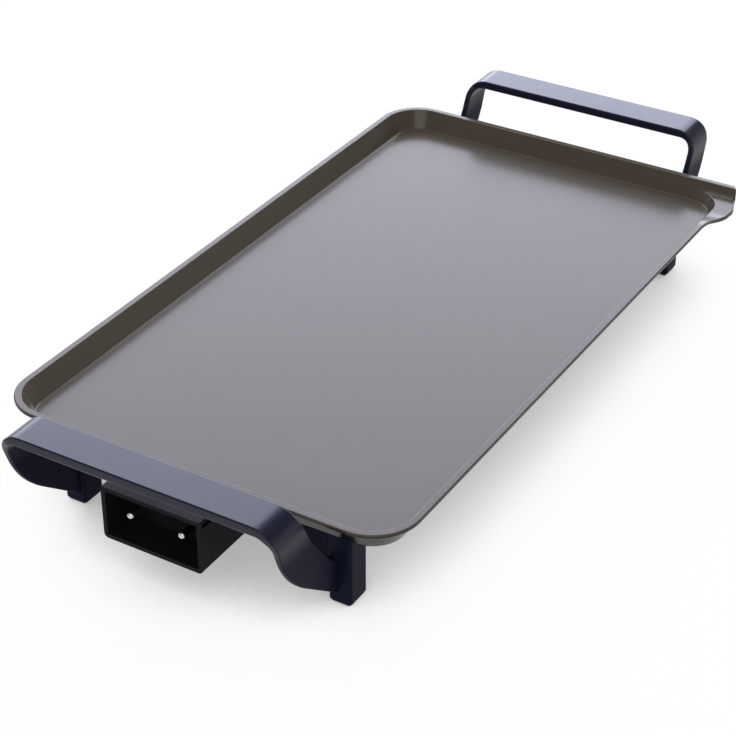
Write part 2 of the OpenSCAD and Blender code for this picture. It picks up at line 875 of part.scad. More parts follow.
module frame_screws() {
    color(zinc_steel)
        for (x = [-post_x, post_x])
            translate([x, post_y, 0])
                cross_screw(screw_d, head_d, head_t, screw_seat - washer_t, base_z + thread_in);
}

module rear_handle_washers() {
    frame_washers();
}

module front_handle_washers() {
    rotate(180)
        frame_washers();
}

module rear_handle_screws() {
    frame_screws();
}

module front_handle_screws() {
    rotate(180)
        frame_screws();
}

// Rubber foot pad with a plug that sits in the post's deep hole
module foot_pad(x, y) {
    color(black_rubber)
        translate([x, y, 0]) {
            linear_extrude(pad_t)
                polygon(rounded_rectangle(post_w - 2 * pad_inset, post_d - 2 * pad_inset, post_round));
            cylinder(h = pad_t + pad_plug, r = post_hole_d / 2 - slip);
        }
}

module front_left_foot_pad() {
    foot_pad(-post_x, -post_y);
}

module front_right_foot_pad() {
    foot_pad(post_x, -post_y);
}

module rear_left_foot_pad() {
    foot_pad(-post_x, post_y);
}

module rear_right_foot_pad() {
    foot_pad(post_x, post_y);
}

cooking_plate();
heating_element();
terminal_pin_left();
terminal_pin_right();
pin_insulator_left();
pin_insulator_right();
probe_sleeve();
terminal_bracket();
earth_contact();
earth_rivet();
socket_housing();
socket_washers();
socket_screws();
front_handle();
rear_handle();
front_handle_washers();
rear_handle_washers();
front_handle_screws();
rear_handle_screws();
front_left_foot_pad();
front_right_foot_pad();
rear_left_foot_pad();
rear_right_foot_pad();
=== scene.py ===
import math

import bmesh
import bpy
import numpy as np
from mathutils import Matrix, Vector


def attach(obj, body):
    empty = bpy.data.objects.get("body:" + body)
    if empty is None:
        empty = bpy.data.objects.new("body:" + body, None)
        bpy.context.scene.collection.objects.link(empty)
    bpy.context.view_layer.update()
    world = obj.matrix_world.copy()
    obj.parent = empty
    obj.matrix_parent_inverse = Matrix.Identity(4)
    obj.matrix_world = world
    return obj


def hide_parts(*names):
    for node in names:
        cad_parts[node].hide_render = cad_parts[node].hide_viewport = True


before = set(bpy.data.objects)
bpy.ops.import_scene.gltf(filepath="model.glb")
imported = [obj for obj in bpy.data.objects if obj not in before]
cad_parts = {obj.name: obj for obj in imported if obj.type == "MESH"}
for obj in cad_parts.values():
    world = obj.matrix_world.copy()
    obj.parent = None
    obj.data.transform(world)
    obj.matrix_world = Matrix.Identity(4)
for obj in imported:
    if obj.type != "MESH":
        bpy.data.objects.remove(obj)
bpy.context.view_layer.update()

# Cooking plate: one aluminium casting with a shallow recess, a flat lip and a pouring beak at a rear corner.
# It has a satin non-stick film in warm taupe, sprayed on and baked; where its faces turn sideways and down,
# the colour goes to near black as painted shade.
# Ribs cast under its floor wrap the heating element, and bosses take the screws from below.
MM = 0.001
corner_x, corner_y = 106.0, 209.0
lip_r, lip_w, lip_t, lip_round, lip_root_round = 30.0, 4.5, 2.5, 0.85, 1.0
rim_z, floor_z, base_z = 67.0, 54.0, 50.4
wall_draft, wall_t, floor_fillet, base_round = 7.0, 2.6, 1.4, 6.0
plate_end_y = corner_y + lip_r
# The lip sinks to the beak between the first two places, and the beak flares out between the next two.
sink_y, level_y = 171.0, 207.0
flare_y, shoulder_y = 182.0, 214.5
beak_drop, beak_reach, beak_slant, beak_t = 6.0, 5.6, 8.3, 3.0
shoulder_round, tip_round = 10.0, 3.0
shoulder_x = corner_x + lip_r + beak_reach
tip_x = shoulder_x - beak_slant
element_z, loop_x, loop_y, loop_bend, pin_x = 46.2, 75.0, 177.0, 22.0, 17.5


def round_corners(lines, radii, steps):
    """Rounds the inner corners of many polylines at once: lines is (lines, points, axes), radii one a corner.
    Between the unit legs u and v, which open by the angle a, an arc of radius r touches the legs at
    r / tan(a / 2) from the corner, and turns evenly about corner + unit(u + v) * r / sin(a / 2)."""
    share = np.linspace(0, 1, steps + 1)[None, :, None]
    bits = [lines[:, :1]]
    for k, radius in enumerate(radii, 1):
        here = lines[:, k]
        if radius == 0:
            bits.append(here[:, None])
            continue
        u, v = lines[:, k - 1] - here, lines[:, k + 1] - here
        u = u / np.linalg.norm(u, axis=1, keepdims=True)
        v = v / np.linalg.norm(v, axis=1, keepdims=True)
        half = np.arccos(np.clip((u * v).sum(1, keepdims=True), -1, 1)) / 2
        middle = here + (u + v) / np.linalg.norm(u + v, axis=1, keepdims=True) * radius / np.sin(half)
        first = here + u * radius / np.tan(half) - middle
        last = here + v * radius / np.tan(half) - middle
        turn = (math.pi - 2 * half)[:, :, None]
        leaving, coming = np.sin(turn * (1 - share)), np.sin(turn * share)
        arc = (leaving * first[:, None] + coming * last[:, None]) / np.sin(turn)
        bits.append(middle[:, None] + arc)
    return np.concatenate(bits + [lines[:, -1:]], 1)


def round_loop(corners, radii, steps):
    """One closed outline with rounded corners: the loop is opened at its first corner, rounded and closed."""
    wrapped = np.array([corners[-1:] + corners + corners[:1]], float)
    return round_corners(wrapped, radii, steps)[0, 1:-1]


def evenly(line, count):
    """count points spread evenly by length along a polyline."""
    run = np.concatenate([[0], np.cumsum(np.linalg.norm(np.diff(line, axis=0), axis=1))])
    at = np.linspace(0, run[-1], count)
    return np.stack([np.interp(at, run, axis) for axis in line.T], -1)


def ease(t):
    """0 to 1 with level ends: 3 t^2 - 2 t^3."""
    t = np.clip(t, 0, 1)
    return t * t * (3 - 2 * t)


def skin(rows, capped=True):
    """Shell over a grid of points, whose rows are closed outlines: its points, the quads between neighbours,
    and a flat cap on the first and the last row."""
    count, width = rows.shape[:2]
    here = np.arange(width)
    beside = (here + 1) % width
    row = np.arange(count - 1)[:, None] * width
    after = row + width
    quads = np.stack([row + here, row + beside, after + beside, after + here], -1).reshape(-1, 4)
    caps = [here, here + (count - 1) * width] if capped else []
    return rows.reshape(-1, 3), quads, caps


def solid(name, shells, material):
    """One object from closed shells in millimetres: doubles merged, slivers dropped, faces turned outwards,
    smooth but for edges sharper than 40 degrees, with normals that follow the larger faces."""
    merge_m, sliver_m, sharp_turn = 2e-6, 1e-6, math.radians(40)
    points, faces, start = [], [], 0
    for shell_points, quads, caps in shells:
        points.append(shell_points * MM)
        faces += (quads + start).tolist() + [(cap + start).tolist() for cap in caps]
        start += len(shell_points)
    mesh = bpy.data.meshes.new(name)
    mesh.from_pydata(np.concatenate(points), [], faces)
    work = bmesh.new()
    work.from_mesh(mesh)
    bmesh.ops.remove_doubles(work, verts=work.verts, dist=merge_m)
    bmesh.ops.dissolve_degenerate(work, edges=work.edges, dist=sliver_m)
    bmesh.ops.recalc_face_normals(work, faces=work.faces)
    work.to_mesh(mesh)
    work.free()
    mesh.shade_smooth()
    mesh.set_sharp_from_angle(angle=sharp_turn)
    mesh.materials.append(material)
    piece = bpy.data.objects.new(name, mesh)
    bpy.context.scene.collection.objects.link(piece)
    piece.modifiers.new("even_normals", "WEIGHTED_NORMAL").keep_sharp = True
    return piece


def inner_wall(z):
    """Distance of the recess's wall from a corner's centre at height z: it leans in evenly, by the draft over
    the whole depth from lip to floor."""
    return lip_r - lip_w - wall_draft * (rim_z - z) / (rim_z - floor_z)


def stations(x, y, turn):
    """Rows of (x, y, turn): a centre for each section of the rim, and the way in which it looks out."""
    return np.stack(np.broadcast_arrays(x, y, turn), -1).astype(float)


def plate_dish():
    """The plate without its ribs: a section of floor, wall and lip carried round the rim. Each section stands
    on a corner's centre or between two of them and looks out at right angles to the side, turning evenly
    through the corners. At the beak the lip sinks and its edge moves out to the beak's outline."""
    plain_steps, beak_steps, outline_steps = 7, 20, 400
    tip_from, tip_to = 40, 56
    side_y = np.concatenate([np.linspace(-corner_y, sink_y, plain_steps)[:-1],
                             np.linspace(sink_y, corner_y, beak_steps)[:-1]])
    turn = np.radians(np.concatenate([np.linspace(0, tip_from, 11)[:-1],
                                      np.linspace(tip_from, tip_to, 21)[:-1],
                                      np.linspace(tip_to, 90, 9)]))
    quarter = np.linspace(0, math.pi / 2, 17)[1:-1]
    across = np.linspace(corner_x, -corner_x, plain_steps)
    along = np.linspace(corner_y, -corner_y, plain_steps)
    rear, left, front = math.pi / 2, math.pi, math.pi * 1.5
    runs = [stations(corner_x, side_y, 0), stations(corner_x, corner_y, turn),
            stations(across, corner_y, rear), stations(-corner_x, corner_y, quarter + rear),
            stations(-corner_x, along, left), stations(-corner_x, -corner_y, quarter + left),
            stations(-across, -corner_y, front), stations(corner_x, -corner_y, quarter + front)]
    x, y, look = np.concatenate(runs).T
    plain = len(x) - len(side_y) - len(turn)
    sink = np.concatenate([ease((side_y - sink_y) / (level_y - sink_y)), np.ones(len(turn)), np.zeros(plain)])

    inside_wall = 0.3
    beak_end_y = plate_end_y - inside_wall
    side_out = beak_reach * ease((side_y - flare_y) / (shoulder_y - flare_y))
    outline = np.array([[[corner_x + lip_r + side_out[-1], corner_y], [shoulder_x, shoulder_y],
                         [tip_x, beak_end_y], [corner_x, beak_end_y]]])
    outline = round_corners(outline, [shoulder_round, tip_round], 8)[0]
    outline = evenly(outline, outline_steps) - [corner_x, corner_y]
    beak_out = np.interp(turn, np.arctan2(outline[:, 1], outline[:, 0]), np.hypot(*outline.T))
    edge = np.concatenate([lip_r + side_out, beak_out, np.full(plain, lip_r)])

    top = rim_z - beak_drop * sink
    under = top - lip_t - (beak_t - lip_t) * sink
    level = np.ones_like(x)
    section = np.stack([
        np.stack([0 * level, base_z * level], -1),
        np.stack([(inner_wall(base_z) + wall_t) * level, base_z * level], -1),
        np.stack([inner_wall(under) + wall_t, under], -1),
        np.stack([edge, under], -1),
        np.stack([edge, top], -1),
        np.stack([inner_wall(top), top], -1),
        np.stack([inner_wall(floor_z) * level, floor_z * level], -1),
        np.stack([0 * level, floor_z * level], -1)], 1)
    radii = [base_round, lip_root_round, lip_round, lip_round, lip_round, floor_fillet]
    section = round_corners(section, radii, 5)
    out, up = section[..., 0], section[..., 1]
    grid = np.stack([x[:, None] + out * np.cos(look)[:, None],
                     y[:, None] + out * np.sin(look)[:, None], up], -1)
    rings = np.array([0, 1 / 3, 2 / 3])[None, :, None]
    inner = np.stack([x, y], -1)[:, None] * rings
    below = np.concatenate([inner, np.full(inner.shape[:2] + (1,), base_z)], -1)
    above = np.concatenate([inner[:, ::-1], np.full(inner.shape[:2] + (1,), floor_z)], -1)
    return skin(np.concatenate([below, grid, above], 1).transpose(1, 0, 2), capped=False)


def beak_wall():
    """The rear wall beside the beak: its upright section carried along X to the beak's slanted end, where it
    is drawn in by r (1 - cos) while it moves on by r sin, so that the end has a rounded edge. The slant is
    rounded to the beak's tip. A turn of -1 marks the first station, at the corner's centre."""
    sunk, foot_step, edge_round, past_beak = 0.1, 0.05, 0.8, 0.12
    floor = rim_z - beak_drop
    low = floor - beak_t - sunk
    foot_y = corner_y + inner_wall(floor)
    loop = round_loop([(foot_y, floor - sunk), (foot_y + foot_step, floor), (plate_end_y - lip_w, rim_z),
                       (plate_end_y, rim_z), (plate_end_y, low), (foot_y, low)],
                      [0, 0, lip_round, lip_round, edge_round, 0], 5)
    tangent = np.roll(loop, -1, 0) - np.roll(loop, 1, 0)
    inward = np.stack([-tangent[:, 1], tangent[:, 0]], -1) / np.linalg.norm(tangent, axis=1, keepdims=True)
    inward *= np.sign(((loop.mean(0) - loop) * inward).sum(1).sum())
    back = plate_end_y - loop[:, 0]
    end = tip_x + past_beak + back * beak_slant / (plate_end_y - shoulder_y)
    end = end - tip_round + np.sqrt(tip_round ** 2 - np.clip(tip_round - back, 0, tip_round) ** 2)
    turn = np.concatenate([[-1.0], np.linspace(0, math.pi / 2, 5)])[:, None]
    x = np.where(turn < 0, corner_x, end[None] - edge_round + edge_round * np.sin(turn))
    drawn = np.where(turn < 0, 0, edge_round * (1 - np.cos(turn)))[..., None]
    return skin(np.concatenate([x[..., None], loop[None] + inward[None] * drawn], -1))


def beak_fillet():
    """Fillet at the foot of that wall: from the floor to the wall along (1-s)^2 A + 2 s (1-s) B + s^2 C, with
    B on their common line. It grows out of nothing as the recess's edge, a circle in plan, leaves the
    wall."""
    from_corner, past_tip, full_size, room_share = 4.0, 1.5, 2.8, 0.85
    root_y, root_z = 1.0, 0.6
    floor = rim_z - beak_drop
    edge_r = inner_wall(floor)
    x = np.linspace(corner_x + from_corner, tip_x + past_tip, 30)[:, None]
    room = edge_r - np.sqrt(edge_r ** 2 - np.minimum(x - corner_x, edge_r) ** 2)
    size = np.minimum(full_size, room_share * room)
    s = np.linspace(0, 1, 9)[None, :]
    lean = wall_draft / (rim_z - floor_z)
    y = corner_y + edge_r - size * (1 - s) ** 2 + size * lean * s ** 2
    z = floor + size * s ** 2
    y = np.concatenate([y, corner_y + edge_r + root_y + 0 * x], 1)
    z = np.concatenate([z, floor - root_z + 0 * x], 1)
    return skin(np.stack([np.broadcast_to(x, y.shape), y, z], -1))


def carry(path, section):
    """A closed section of (side, height) carried along a level path, its side at right angles to the path."""
    way = np.gradient(path, axis=0)
    way = way / np.linalg.norm(way, axis=1, keepdims=True)
    side = np.stack([way[:, 1], -way[:, 0]], -1)
    flat = path[:, None] + side[:, None] * section[None, :, :1]
    height = np.broadcast_to(section[None, :, 1:], flat.shape[:2] + (1,))
    return skin(np.concatenate([flat, height], -1))


def heating_loop(front_y):
    """Level path of the heating loop: from one pin back, round the loop and forward to the other pin."""
    corners = np.array([[[pin_x, front_y], [pin_x, -loop_y], [loop_x, -loop_y], [loop_x, loop_y],
                         [-loop_x, loop_y], [-loop_x, -loop_y], [-pin_x, -loop_y], [-pin_x, front_y]]])
    return round_corners(corners, [loop_bend] * 6, 12)[0]


def turned(profile, x, y, steps=40):
    """A profile of (radius, height) turned about an upright axis at (x, y)."""
    angle = np.linspace(0, 2 * math.pi, steps, endpoint=False)
    radius, height = np.array(profile, float).T
    return skin(np.stack([x + radius[:, None] * np.cos(angle), y + radius[:, None] * np.sin(angle),
                          np.broadcast_to(height[:, None], (len(radius), steps))], -1))


def tree_node(tree, kind, values=None, **settings):
    """A new node of a shader tree, with its settings and the values of its inputs."""
    made = tree.nodes.new("ShaderNode" + kind)
    for name, value in settings.items():
        setattr(made, name, value)
    for name, value in (values or {}).items():
        made.inputs[name].default_value = value
    return made


def wire(tree, *pairs):
    """Links the first socket of each pair to the second."""
    for source, target in pairs:
        tree.links.new(source, target)


def new_group(name, inputs, outputs):
    """An empty node group with named numbers going in and named masks coming out."""
    group = bpy.data.node_groups.new(name, "ShaderNodeTree")
    for label, value in inputs.items():
        group.interface.new_socket(label, in_out="INPUT", socket_type="NodeSocketFloat").default_value = value
    for label in outputs:
        group.interface.new_socket(label, in_out="OUTPUT", socket_type="NodeSocketFloat")
    return group, group.nodes.new("NodeGroupInput"), group.nodes.new("NodeGroupOutput")


# Fine surface grain, as sprayed films and etched moulds leave it: two sizes of noise, mixed.
coarse_ratio = 0.3
grain, grain_in, grain_out = new_group("surface_grain", {"Scale": 900.0, "Coarse": 0.5}, ["Height"])
place = tree_node(grain, "TexCoord")
fine = tree_node(grain, "TexNoise", {"Detail": 2.0, "Roughness": 0.6})
coarse = tree_node(grain, "TexNoise", {"Detail": 1.0, "Roughness": 0.5})
widen = tree_node(grain, "Math", {1: coarse_ratio}, operation="MULTIPLY")
both = tree_node(grain, "Mix", data_type="FLOAT")
wire(grain,
     (place.outputs["Object"], fine.inputs["Vector"]),
     (place.outputs["Object"], coarse.inputs["Vector"]),
     (grain_in.outputs["Scale"], fine.inputs["Scale"]),
     (grain_in.outputs["Scale"], widen.inputs[0]),
     (widen.outputs[0], coarse.inputs["Scale"]),
     (grain_in.outputs["Coarse"], both.inputs["Factor"]),
     (fine.outputs[0], both.inputs["A"]),
     (coarse.outputs[0], both.inputs["B"]),
     (both.outputs["Result"], grain_out.inputs["Height"]))

# Uneven sheen, as handling and wiping leave it: wide soft clouds, and thin streaks drawn out along Y.
sheen, sheen_in, sheen_out = new_group("wiped_sheen", {"Scale": 14.0, "Streaks": 0.3}, ["Mask"])
place = tree_node(sheen, "TexCoord")
drawn = tree_node(sheen, "Mapping", {"Scale": (9.0, 0.6, 9.0)})
cloud = tree_node(sheen, "TexNoise", {"Detail": 3.0, "Roughness": 0.55})
streak = tree_node(sheen, "TexNoise", {"Detail": 4.0, "Roughness": 0.6})
both = tree_node(sheen, "Mix", data_type="FLOAT")
wire(sheen,
     (place.outputs["Object"], cloud.inputs["Vector"]),
     (place.outputs["Object"], drawn.inputs["Vector"]),
     (drawn.outputs[0], streak.inputs["Vector"]),
     (sheen_in.outputs["Scale"], cloud.inputs["Scale"]),
     (sheen_in.outputs["Scale"], streak.inputs["Scale"]),
     (sheen_in.outputs["Streaks"], both.inputs["Factor"]),
     (cloud.outputs[0], both.inputs["A"]),
     (streak.outputs[0], both.inputs["B"]),
     (both.outputs["Result"], sheen_out.inputs["Mask"]))


def finish(name, dark, light, rough, grain_scale, grain_depth, sheen_scale, streaks, coarse_share=0.5,
           **fixed):
    """A material of one finish: its colour runs from dark to light and its roughness between two values with
    the wiped sheen, the grain gives the bump, and fixed numbers are set on the shader itself."""
    mask_low, mask_high = 0.3, 0.7
    material = bpy.data.materials.new(name)
    material.use_nodes = True
    tree = material.node_tree
    shader = tree.nodes["Principled BSDF"]
    for label, value in fixed.items():
        shader.inputs[label.replace("_", " ")].default_value = value
    bump = tree_node(tree, "Bump", {"Strength": 1.0, "Distance": grain_depth})
    marks = tree_node(tree, "Group", node_tree=sheen)
    marks.inputs["Scale"].default_value = sheen_scale
    marks.inputs["Streaks"].default_value = streaks
    film = tree_node(tree, "Group", node_tree=grain)
    film.inputs["Scale"].default_value = grain_scale
    film.inputs["Coarse"].default_value = coarse_share
    spread = tree_node(tree, "MapRange", {"From Min": mask_low, "From Max": mask_high,
                                          "To Min": rough[0], "To Max": rough[1]})
    tint = tree_node(tree, "Mix", {"A": (*dark, 1), "B": (*light, 1)}, data_type="RGBA")
    wire(tree,
         (film.outputs["Height"], bump.inputs["Height"]),
         (bump.outputs[0], shader.inputs["Normal"]),
         (marks.outputs["Mask"], spread.inputs["Value"]),
         (spread.outputs[0], shader.inputs["Roughness"]),
         (marks.outputs["Mask"], tint.inputs["Factor"]),
         (tint.outputs["Result"], shader.inputs["Base Color"]))
    return material


coat = finish("non_stick_coat", dark=(0.086, 0.069, 0.050), light=(0.098, 0.079, 0.058), rough=(0.18, 0.22),
              grain_scale=1900.0, grain_depth=5e-7, sheen_scale=11.0, streaks=0.2, coarse_share=0.6, IOR=1.34)
# Painted shade: the colour goes to near black, beginning on faces that look only a little upwards and full on
# those that look a little down.
painted_shade_black, painted_shade_from, painted_shade_to = (0.014, 0.0135, 0.0125), 0.2, -0.1
tree = coat.node_tree
shader = tree.nodes["Principled BSDF"]
taupe = shader.inputs["Base Color"].links[0].from_socket
place = tree_node(tree, "TexCoord")
facing = tree_node(tree, "SeparateXYZ")
facing_shade = tree_node(tree, "MapRange", {"From Min": painted_shade_from, "From Max": painted_shade_to})
paint = tree_node(tree, "Mix", {"B": (*painted_shade_black, 1)}, data_type="RGBA")
wire(tree,
     (place.outputs["Normal"], facing.inputs[0]),
     (facing.outputs["Z"], facing_shade.inputs["Value"]),
     (facing_shade.outputs[0], paint.inputs["Factor"]),
     (taupe, paint.inputs["A"]),
     (paint.outputs["Result"], shader.inputs["Base Color"]))

cast_in = 0.7
rib_low, rib_half_top, rib_half_low, rib_round = element_z - 3.0, 5.9, 5.6, 1.5
block_low, block_half_top, block_half_low, block_round = 36.6, 7.5, 7.4, 2.5
cast_front_y, block_mid_y, block_back_y = -222.1, -196.0, -161.7
boss_r, boss_h, boss_edge = 5.0, 4.0, 0.1
lug_r, lug_h, lug_edge, stud_edge_h = 3.5, 7.9, 0.2, 0.2
post_x, post_y = 93.0, 214.6
lug_x, lug_y = 27.1, -215.0


def cast_rib(path, half_top, half_low, low, edge, steps):
    """A rib under the floor: a section with drafted sides and rounded lower edges, carried along a path."""
    top = base_z + cast_in
    section = round_loop([(-half_top, top), (-half_low, low), (half_low, low), (half_top, top)],
                         [0, edge, edge, 0], steps)
    return carry(path, section)


def cast_stud(radius, length, edge, x, y):
    """A round stud under the floor, turned about an upright axis, with its lower edge broken."""
    low = base_z - length
    return turned([(radius - edge, low), (radius, low + stud_edge_h), (radius, base_z + cast_in)], x, y)


block_path = np.array([[0.0, cast_front_y], [0.0, block_mid_y], [0.0, block_back_y]])
plate_shells = [
    plate_dish(), beak_wall(), beak_fillet(),
    cast_rib(heating_loop(cast_front_y), rib_half_top, rib_half_low, rib_low, rib_round, 4),
    cast_rib(block_path, block_half_top, block_half_low, block_low, block_round, 5)]
plate_shells += [cast_stud(boss_r, boss_h, boss_edge, x, y)
                 for x in (-post_x, post_x) for y in (-post_y, post_y)]
plate_shells += [cast_stud(lug_r, lug_h, lug_edge, x, lug_y) for x in (-lug_x, lug_x)]
plate = solid("plate_casting", plate_shells, coat)
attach(plate, "root")
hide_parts("cooking_plate")

# Heating element: a steel tube packed with powder round a wire, bent to one loop.
# It is held in the rib cast under the plate, and its sheath has gone straw and brown from the heat.
sheath = finish("heat_tinted_sheath", dark=(0.16, 0.115, 0.08), light=(0.34, 0.29, 0.24), rough=(0.34, 0.52),
                grain_scale=2200.0, grain_depth=1e-5, sheen_scale=30.0, streaks=0.5, Metallic=1.0)


def dress(node, material):
    """A CAD node keeps its shape and takes a material."""
    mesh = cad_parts[node].data
    mesh.materials.clear()
    mesh.materials.append(material)


dress("heating_element", sheath)

# Terminal pins: turned steel, nickel-plated, with a round tip for the connector and a thinner stem behind.
# Each runs back through the housing's partition and a ceramic insulator into the end of the element.
plated = finish("nickel_plate", dark=(0.58, 0.56, 0.52), light=(0.74, 0.72, 0.69), rough=(0.16, 0.3),
                grain_scale=3000.0, grain_depth=4e-6, sheen_scale=60.0, streaks=0.6, Metallic=1.0)
pin_r, stem_r, pin_chamfer = 2.5, 2.1, 0.25
pin_tip_y, partition_y, stem_end_y = -267.0, -248.3, -210.6


def pin(x):
    """A terminal pin turned about a level axis: a half-round tip, whose radius is r sin t at r (1 - cos t)
    from its end, a straight free end with a small chamfer at its shoulder, and the stem."""
    tip = np.linspace(0, math.pi / 2, 9)
    around = np.linspace(0, 2 * math.pi, 32, endpoint=False)
    radius = np.concatenate([pin_r * np.sin(tip), [pin_r, pin_r - pin_chamfer, stem_r, stem_r]])
    y = np.concatenate([pin_tip_y + pin_r * (1 - np.cos(tip)),
                        [partition_y - pin_chamfer, partition_y, partition_y, stem_end_y]])
    return skin(np.stack([x + radius[:, None] * np.cos(around),
                          np.broadcast_to(y[:, None], (len(y), len(around))),
                          element_z + radius[:, None] * np.sin(around)], -1))


for side, x in (("left", -pin_x), ("right", pin_x)):
    piece = solid("plated_pin_" + side, [pin(x)], plated)
    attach(piece, "root")
    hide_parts("terminal_pin_" + side)

# Insulators: pressed and fired steatite, unglazed, one round the stem of each pin.
# They sit in the terminal bracket and keep the pins clear of its steel.
steatite = finish("fired_steatite", dark=(0.70, 0.66, 0.58), light=(0.80, 0.77, 0.70), rough=(0.55, 0.7),
                  grain_scale=2600.0, grain_depth=1e-5, sheen_scale=80.0, streaks=0.1)
dress("pin_insulator_left", steatite)
dress("pin_insulator_right", steatite)

# Probe sleeve: a drawn brass tube, pushed into the block under the plate.
# It leads a thermostat probe in under the floor.
brass = finish("drawn_brass", dark=(0.50, 0.34, 0.13), light=(0.64, 0.46, 0.20), rough=(0.24, 0.4),
               grain_scale=2600.0, grain_depth=5e-6, sheen_scale=50.0, streaks=0.8, Metallic=1.0)
dress("probe_sleeve", brass)

# Terminal bracket: one blank of zinc-plated sheet steel, folded.
# It carries the insulators, and the socket's two screws clamp it under the plate.
zinc = finish("zinc_plate", dark=(0.42, 0.43, 0.45), light=(0.58, 0.59, 0.61), rough=(0.3, 0.46),
              grain_scale=1800.0, grain_depth=6e-6, sheen_scale=120.0, streaks=0.3, Metallic=1.0)
dress("terminal_bracket", zinc)

# Earth contact: a folded brass strip under the socket's roof, midway between the pins.
# A plated steel rivet holds its foot to the bracket.
dress("earth_contact", brass)
dress("earth_rivet", plated)

# Socket housing: one black moulding, a hood round the pins that runs back under the plate.
# Its edges are broken by the mould, and its faces have a fine spark-eroded grain.
moulded_black = finish("black_moulding", dark=(0.007, 0.009, 0.011), light=(0.012, 0.014, 0.017),
                       rough=(0.45, 0.55), grain_scale=1600.0, grain_depth=1.4e-5, sheen_scale=26.0,
                       streaks=0.2, coarse_share=0.4, IOR=1.15)
housing_edge = 0.5


def softened(name, node, material, width):
    """A copy of a CAD node with its loose triangles merged, its flat faces joined, and each edge sharper than
    35 degrees rounded to the given width in millimetres."""
    merge_m, flat_turn, sharp_turn = 1e-6, math.radians(0.5), math.radians(35)
    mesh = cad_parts[node].data.copy()
    mesh.name = name
    work = bmesh.new()
    work.from_mesh(mesh)
    bmesh.ops.remove_doubles(work, verts=work.verts, dist=merge_m)
    bmesh.ops.dissolve_limit(work, angle_limit=flat_turn, verts=work.verts, edges=work.edges)
    work.to_mesh(mesh)
    work.free()
    mesh.shade_smooth()
    mesh.set_sharp_from_angle(angle=sharp_turn)
    mesh.materials.clear()
    mesh.materials.append(material)
    piece = bpy.data.objects.new(name, mesh)
    bpy.context.scene.collection.objects.link(piece)
    edge = piece.modifiers.new("broken_edges", "BEVEL")
    edge.width = width * MM
    edge.segments = 3
    edge.limit_method = "ANGLE"
    edge.angle_limit = sharp_turn
    piece.modifiers.new("even_normals", "WEIGHTED_NORMAL").keep_sharp = False
    return piece


housing = softened("socket_moulding", "socket_housing", moulded_black, housing_edge)
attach(housing, "root")
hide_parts("socket_housing")

# Socket screws and washers: zinc-plated steel, two of each.
# They are driven up through the housing and the bracket into the plate's lugs.
for node in ("socket_screws", "socket_washers"):
    dress(node, zinc)

# End frames: handle bar, two swept legs and two foot posts in one moulding of dark blue filled plastic.
# Both come from one mould; the front one is turned round.
# The mould is polished at the bar and etched towards the feet.
moulded_blue = finish("navy_moulding", dark=(0.008, 0.010, 0.027), light=(0.0115, 0.014, 0.036),
                      rough=(0.42, 0.52), grain_scale=1900.0, grain_depth=2e-6, sheen_scale=16.0,
                      streaks=0.25, coarse_share=0.4, IOR=1.13, Coat_IOR=1.31, Coat_Roughness=0.19)
etch_z, polish_z = 0.060, 0.082
tree = moulded_blue.node_tree
place = tree_node(tree, "TexCoord")
height = tree_node(tree, "SeparateXYZ")
polish = tree_node(tree, "MapRange", {"From Min": etch_z, "From Max": polish_z})
wire(tree,
     (place.outputs["Object"], height.inputs[0]),
     (height.outputs["Z"], polish.inputs["Value"]),
     (polish.outputs[0], tree.nodes["Principled BSDF"].inputs["Coat Weight"]))
bar_top, bar_t, bar_in_y, bar_out_y = 88.0, 6.0, 259.8, 284.6
leg_out_x, leg_t, bend_r, frame_edge_r = 92.4, 4.2, 15.0, 1.0
toe_z, notch_z, knee, elbow = 8.0, 26.8, (271.9, 46.0), (249.8, 61.9)
notch_r, elbow_r, knee_r, bar_side_r = 4.0, 60.0, 70.0, 6.0
notch_rise, notch_in, toe_in = 12.0, 0.1, 2.0
post_w, post_d, post_r, post_low, post_edge_r = 15.0, 18.0, 2.4, 2.0, 0.4
post_face_y = post_y + post_d / 2


